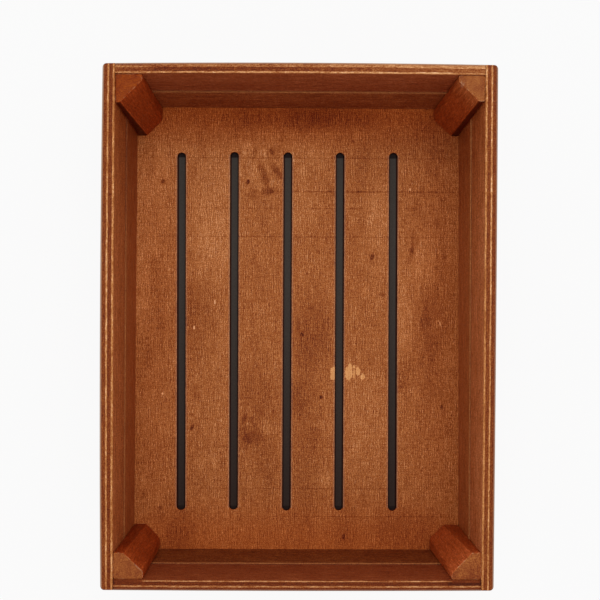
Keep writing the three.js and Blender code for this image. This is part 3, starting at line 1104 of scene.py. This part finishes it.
base = {
    "arris": (0.5, 2),
    "slotWidth": 7.25,
    # the slots were cut by hand, a little out of true: x and y of the back end, and of the front end
    "slots": [
        (-101.9, 152.5, -100.3, -158.6), (-55.7, 153.2, -54.8, -158.1), (-8.9, 153.2, -8.9, -158.7),
        (36.8, 153.2, 36.5, -158.4), (83.4, 153.3, 83.0, -158.6),
    ],
    "slotDepth": (-10, 15),  # of the cutter, past both faces
    "endSegments": 10,  # in a quarter of a round slot end
    "endShare": 0.9999,  # its radius in half widths, so that a sliver stays flat
    "seed": 5.0,
    "tone": 169,
    "tint": (1.0, 0.52, 0.2, 1.0),
    "deep": 0.27,
    # painted shade along the walls, darker and redder: how far from them it reaches, and how strong it is
    # there
    "paintedWallShade": [(48, 0.85), (60, 0.68), (60, 0.43)],  # back, front, sides
    "grain": {"Ribs": 0.135, "Rungs": 0.04, "Thread": 0.31, "Strand": 0.26, "Crossing": 0.14, "Fibre": 0.68,
              "Streak": 0.09, "Blotch": 0.03, "Figure": 0.07, "Cloud": 0.06, "Pores": -0.03},
    # the grain is weaker at the front: between which y, and from and to how strong
    "calmFront": (-185, -130, 0.84, 1.0),
    "slotTone": 74,  # inside the slots: stain run thick into the cut plies, darkened further with painted shade of the narrow slot
    "slotsWithin": -2,  # from the walls' inner faces, so that the outer edges are not
    "edgeTone": 140,  # plies on the outer edges
    "wallNormal": (0.85, 0.45),  # slopes between which the surface becomes a wall
    # distances from a slot's middle line of its dark arris and of the pale line outside it
    "arrisReach": (4.15, 3.75),
    "arrisShade": -0.15,
    "rimReach": (3.6, 3.8, 4.3, 5.5),
    "rimPale": 0.2,
    "straight": (-156.5, 151.1),  # both lie between these y
    "rough": (0.5, 0.66),
    "bareRough": 0.2,
    "poreDepth": -0.5,
    "bump": 0.1,
    # how soft and how torn the outlines of the marks are, and the pattern that tears them
    "outlines": {
        "areas": (0.8, 0.25), "smudges": (0.45, 1.7), "flecks": (0.3, 0.5), "crossLines": (0.5, 1.6),
    },
    "tears": ((1.6, 4.5, 1.6), 3, 0.7),
    "streaks": (0.38, 0.62, 0.4, 1.6),  # between which strands smudges get stronger, from and to how far
    # broad lighter and darker areas of the stain, each as markMasks reads it
    "areas": [
        (-73, 85, 20, 40, 22), (-68, -60, 14, 110, 5), (0, 108, 14, 18, 14), (8, 150, 16, 14, 12),
        (99, 22, 8, 58, 9, -9), (59, -82, 22, 42, 10), (70, 92, 10, 48, 15), (-88, 8, 15, 30, -14),
        (-128, -2, 12, 40, -8), (12, -8, 15, 32, -21), (116, 8, 15, 30, -9), (92, -36, 8, 15, -12),
        (-36, -62, 16, 22, -14), (-44, -94, 11, 11, -15), (0, -60, 9, 15, -19), (-26, -122, 9, 22, -15),
        (66, 150, 16, 26, -7), (126, 90, 20, 130, -6), (88, -2, 9, 30, 16), (112, 54, 9, 30, 13),
        (-136, 22, 9, 30, 17), (-112, 142, 30, 20, 10), (-48, 182, 14, 14, -14), (40, -170, 9, 30, -12),
        (-48, 142, 30, 20, 11), (112, -26, 9, 30, -14), (-104, -186, 14, 30, -20), (8, -122, 12, 70, -13),
        (120, 166, 30, 20, -17), (96, -178, 30, 20, -16), (16, 184, 45, 10, -33), (-136, 94, 20, 50, 16),
    ],
    # smaller marks in the finish
    "smudges": [
        (-29.5, 132, 3.2, 10, -30, -18), (-19, 137, 2.8, 7.5, -36, -38), (-27, 119, 6, 3, -30),
        (-24.5, 119, 2, 2.6, -18), (-23.2, 153.8, 1.9, 3.3, -48, -25), (-38, 153, 1.8, 5, -26),
        (-34, 143, 1.5, 6, -14, 10), (-44, 127, 1.7, 2.0, -66, 20), (-39, 116, 4, 5, -14),
        (-118, 127, 1.7, 2.0, -64), (-129, 135, 4, 8, -13), (-92, 135, 4, 7, -10), (-125, 51, 4, 12, -12),
        (-126, 102, 4, 10, -10), (65, 62, 1.7, 3.2, -42, 14), (65, 61, 5, 6, -11),
        (100, 69, 1.4, 4.6, -28, 10), (98, 61, 2.4, 10, -16, 22), (112, 7, 5, 9, -13), (115, 24, 5, 8, -9),
        (4, -6, 1.5, 1.5, -62), (-91, -87, 1.2, 2.8, -66, 22), (126, -69, 1.1, 1.8, -58),
        (41, -181, 1.2, 2.6, -64, 12), (21, -60.5, 1.2, 1.5, -60), (-38, -96, 10, 5.5, -18),
        (-43, -97, 3, 4.5, -9), (-46, -80, 1.5, 4.5, -32, 20), (-38, -82, 1.5, 5, -18, -25),
        (27, 138, 1.5, 1.5, -30), (-118, -157, 1.2, 2, -32), (18, 66, 1.5, 1.5, -28),
        (48, 163, 1.5, 1.5, -28), (74, 29, 2.6, 1.7, -30), (58, 151, 5, 6, -12), (16, -94, 5, 8, -9),
        (2, -70, 5, 6, -6), (105, 104, 5, 8, -10), (90, -51, 3, 1.5, -18), (65, -84, 1.5, 2, -20),
        (-22, 126, 3, 3.5, 14), (-45, 156, 5, 6, 13), (-40, 134, 3.5, 7, 9), (-29, 152, 4, 5, 12),
        (106, 63, 4, 8, 11), (106, 49, 4, 6, 9), (-28, -87, 5, 7, 12), (24, -127, 5, 12, 8),
        (64, 95, 5, 8, 8), (97, 112, 4, 8, 7), (71, 19, 4, 8, 7), (6, 136, 5, 6, 8), (100, -56, 4, 8, 7),
        (26, -86, 4, 8, 8),
    ],
    "flecks": [
        (-72, 22, 0.6, 2.0, 90), (-90, -0.5, 0.7, 1.7, 110), (-117, -58, 0.9, 0.9, 85),
        (124.4, 4, 0.6, 2.2, 66), (122.8, 6.2, 0.9, 0.8, 50), (98, 121, 0.9, 1.1, 62),
        (-4, 146, 0.8, 1.6, 45), (-43, -84, 0.8, 1.4, 42), (-33, 120, 1.1, 1.2, 30), (99, -55, 0.6, 2, 34),
        (-42, 160, 1.1, 1.2, 30), (-66, -81, 1.2, 1.2, 28), (3, 83, 1, 1.5, 26), (119, 62, 1, 1.5, 26),
    ],
    # faint lines across the grain
    "crossLines": [
        (20, 169.4, 90, 0.5, 10), (10, 148.2, 130, 0.6, -18), (70, 118.8, 78, 0.8, -26),
        (0, 104, 130, 0.5, -15), (0, 79.2, 145, 0.5, -20), (10, -104.2, 110, 0.5, -14),
        (20, -139.9, 100, 0.5, -14), (60, -163.9, 80, 0.5, -18),
    ],
    # patches where the finish has come away to bare wood
    "bare": [
        (31.7, -43.2, 3.3, 2.3, 1), (32.4, -40.0, 3.3, 4.6, 1), (31.6, -36.9, 2.8, 2.5, 1),
        (33.2, -36.4, 2.0, 2.2, 1), (44.8, -39.6, 3.3, 6.0, 1), (45.9, -35.2, 2.1, 4.4, 1),
        (49.4, -33.9, 1.2, 1.5, 1), (49.5, -40.6, 0.8, 4.6, 1), (52.9, -38.0, 2.0, 3.8, 1),
        (57.0, -42.7, 2.0, 2.4, 1),
    ],
    "bareOutline": (0.12, 1.3, ((1.1, 1.6, 1.1), 3, 0.7)),
    "bareGrain": {"Fibre": 0.3, "Strand": 0.2},
    "bareTone": 230,
    "bareTint": (1.0, 1.03, 0.9, 1.0),
}


def makeBaseMaterial():
    material, shader, place = startMaterial("stained base panel")
    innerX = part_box("right_board_lower")[0].x / mm
    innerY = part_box("back_board_lower")[0].y / mm
    x, y = parts(place)[:2]
    grain = useGroup(woodGroup, {"Place": place, "Seed": base["seed"]})
    tone = grainTone(grain, base["grain"], base["tone"] / 255)
    tone = scaled(tone, base["tone"] / 255, ramp(y, *base["calmFront"]))
    streaks = ramp(grain["Strand"], *base["streaks"])
    for kind, outline in base["outlines"].items():
        tone = addMarks(place, tone, base[kind], *outline, streaks if kind == "smudges" else 1.0)

    fromWalls = [minus(innerY, y), calc("ADD", innerY, y), minus(innerX, calc("ABSOLUTE", x))]
    deep = 0.0
    within = 1.0  # the slots, and not the outer edges
    # painted shade: the panel turns darker and redder towards each wall
    for distance, (reach, most) in zip(fromWalls, base["paintedWallShade"]):
        deep = calc("MAXIMUM", ramp(distance, 0, reach, most, base["deep"]), deep)
        within = product(within, calc("GREATER_THAN", distance, base["slotsWithin"]))

    # bare wood
    bare = 0.0
    for mask in markMasks(place, base["bare"], *base["bareOutline"]):
        bare = calc("MAXIMUM", bare, mask)
    tone = between(bare, tone, grainTone(grain, base["bareGrain"], base["bareTone"] / 255))

    # slot walls, darkened partly with painted shade, and outer edges
    onWall = ramp(calc("ABSOLUTE", normalParts(material)[2]), *base["wallNormal"])
    tone = between(onWall, tone, between(within, base["edgeTone"] / 255, base["slotTone"] / 255))
    deep = calc("MAXIMUM", deep, onWall)

    # the slots' rims are paler outside their dark arris
    fromSlot = slotDistance(x, y)
    front, back = base["straight"]
    beside = product(calc("LESS_THAN", y, back), calc("GREATER_THAN", y, front))
    pale = product(window(fromSlot, *base["rimReach"]), beside, base["rimPale"])
    arris = product(ramp(fromSlot, *base["arrisReach"]), beside, base["arrisShade"])
    tone = plus(tone, arris, tone)

    colour = stained(tone, deep, base["tint"], pale)
    colour = mix(bare, colour, tinted(colour, base["bareTint"]))
    rough = plus(roughened(grain, *base["rough"]), base["bareRough"], bare)
    height = plus(grain["Fibre"], base["poreDepth"], grain["Pores"])
    finishShader(shader, colour, rough, height, base["bump"])
    return material


def addBase():
    bm = addBox(*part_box("base_panel"))
    roundUprights(bm, *board["corner"])
    piece = linkPiece("base_panel_stained", bm, makeBaseMaterial())
    slots = bmesh.new()
    radius = base["slotWidth"] / 2
    bottom, top = base["slotDepth"]
    for backX, backY, frontX, frontY in base["slots"]:
        slot = addBox(Vector((-radius, frontY, bottom)) * mm, Vector((radius, backY, top)) * mm)
        roundUprights(slot, radius * base["endShare"], base["endSegments"])
        for vert in slot.verts:
            share = (vert.co.y / mm - frontY) / (backY - frontY)
            vert.co.x += (frontX + (backX - frontX) * share) * mm
        moveInto(slots, slot)
    cutWith(piece, slots)
    bm = bmesh.new()
    bm.from_mesh(piece.data)
    bmesh.ops.remove_doubles(bm, verts=bm.verts, dist=touching / 2)
    roundEdges(bm, sharpEdges(bm), *base["arris"])
    bm.to_mesh(piece.data)
    bm.free()
    finishPiece(piece, "base_panel")


addBase()
print("base panel ready")
addDarkSheet()
print("dark sheet ready")


# Brads in their holes

def makeBradMaterial():
    material, shader, place = startMaterial("brad steel")
    patch = noise(place, *brad["patches"])
    colour = mix(ramp(patch, *brad["tarnished"]), linear(*brad["steel"]), linear(*brad["tarnish"]))
    feed(shader.inputs["Metallic"], 1.0)
    finishShader(shader, colour, ramp(patch, *brad["rough"]), patch, brad["bump"])
    return material


bradSteel = makeBradMaterial()
for name in bradNames:
    piece = linkPiece(name + "_steel", spinProfile(bradProfile(), bradPlaces[name]), bradSteel)
    finishPiece(piece, name, drilled=False)
print("brads ready")
